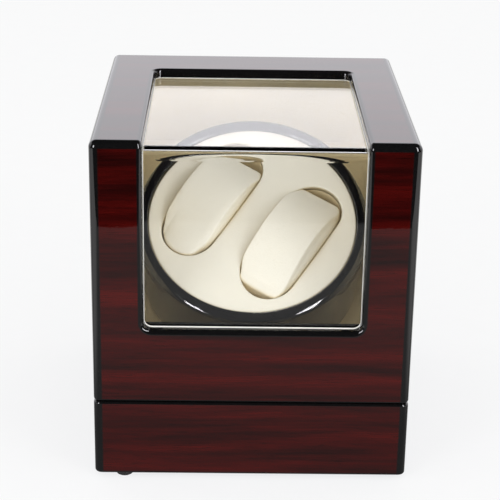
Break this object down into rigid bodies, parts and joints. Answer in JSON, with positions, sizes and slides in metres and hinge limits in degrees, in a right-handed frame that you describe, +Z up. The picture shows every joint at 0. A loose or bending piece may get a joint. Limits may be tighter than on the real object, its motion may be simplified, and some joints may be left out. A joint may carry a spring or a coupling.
{
  "type": "watch winder box",
  "caption": "Lacquered rosewood box with a hinged windowed lid over a tilted motor-driven turntable holding padded watch cushions.",
  "frame": {"origin": "centre of the box footprint, on the plane the rubber feet stand on", "axes": "+Z up, -Y the front with the window, +X to the right seen from the front"},
  "size_m": [0.175, 0.19, 0.198],
  "materials": {
    "black_rubber": "moulded rubber",
    "brass": "satin brass",
    "circuit_board": "green circuit board",
    "clear_acrylic": "polished clear acrylic",
    "cream_cushion": "soft cream synthetic leather over foam",
    "cream_leather": "fine-grained cream synthetic leather",
    "fibreboard": "black-stained fibreboard",
    "gloss_black_plastic": "piano black",
    "lacquered_veneer": "high gloss black-edged rosewood veneer under clear lacquer",
    "matte_black_plastic": "moulded matte black",
    "steel": "zinc-plated steel",
    "white_plastic": "natural acetal",
    "wire_insulation": "insulated wire"
  },
  "bodies": {
    "base": {"base_lining": "cream_leather", "base_walls": "lacquered_veneer", "bearing_bush": "brass", "bottom_panel": "fibreboard", "bottom_panel_screws": "steel", "bracket_screws": "steel", "bracket_spacers": "steel", "control_housing": "matte_black_plastic", "control_pcb": "circuit_board", "dc_inlet_jack": "matte_black_plastic", "dc_inlet_pin": "steel", "deck_board": "fibreboard", "deck_cheek_left": "fibreboard", "deck_cheek_right": "fibreboard", "deck_cover": "cream_leather", "foot_screws": "steel", "gearbox_screws": "steel", "hinge_base_leaves": "brass", "hinge_base_screws": "steel", "hinge_pins": "steel", "motor_bracket": "steel", "motor_can": "steel", "motor_gearbox": "matte_black_plastic", "motor_leads": "wire_insulation", "pcb_screws": "steel", "rear_screen": "fibreboard", "rubber_feet": "black_rubber", "selector_switch": "matte_black_plastic"},
    "lid": {"lid_shell": "lacquered_veneer", "window_pane": "clear_acrylic", "lid_lining_back": "cream_leather", "lid_lining_left": "cream_leather", "lid_lining_right": "cream_leather", "lid_lining_front": "cream_leather", "hinge_lid_leaves": "brass", "hinge_lid_screws": "steel"},
    "turntable": {"turntable_drum": "gloss_black_plastic", "bezel_ring": "gloss_black_plastic", "pad_plate": "cream_leather", "pocket_liner_left": "cream_leather", "pocket_liner_right": "cream_leather", "turntable_hub": "matte_black_plastic", "hub_screws": "steel", "turntable_shaft": "steel", "drive_gear": "white_plastic"},
    "pinion": {"motor_pinion": "brass", "motor_output_shaft": "steel"},
    "selector": {"mode_knob": "matte_black_plastic"},
    "cushion_left": {"watch_cushion_left": "cream_cushion"},
    "cushion_right": {"watch_cushion_right": "cream_cushion"}
  },
  "joints": [
    {"name": "lid_hinge", "type": "hinge", "parent": "base", "child": "lid", "pos_m": [0, 0.0935, 0.0478], "axis": [-1, 0, 0], "range_deg": [0, 95]},
    {"name": "turntable_spin", "type": "hinge", "parent": "base", "child": "turntable", "pos_m": [0, -0.0224, 0.1296], "axis": [0, -0.6252, 0.7804], "continuous": true},
    {"name": "pinion_spin", "type": "hinge", "parent": "base", "child": "pinion", "pos_m": [0.03215, 0.02137, 0.07497], "axis": [0, -0.6252, 0.7804], "continuous": true},
    {"name": "selector_turn", "type": "hinge", "parent": "base", "child": "selector", "pos_m": [-0.013, 0.09, 0.025], "axis": [0, 1, 0], "range_deg": [0, 90]},
    {"name": "cushion_left_lift", "type": "slide", "parent": "turntable", "child": "cushion_left", "axis": [0, -0.6252, 0.7804], "range_m": [0, 0.012]},
    {"name": "cushion_right_lift", "type": "slide", "parent": "turntable", "child": "cushion_right", "axis": [0, -0.6252, 0.7804], "range_m": [0, 0.012]}
  ],
  "couplings": [
    {"joint": "pinion_spin", "follows": "turntable_spin", "ratio": -3}
  ]
}
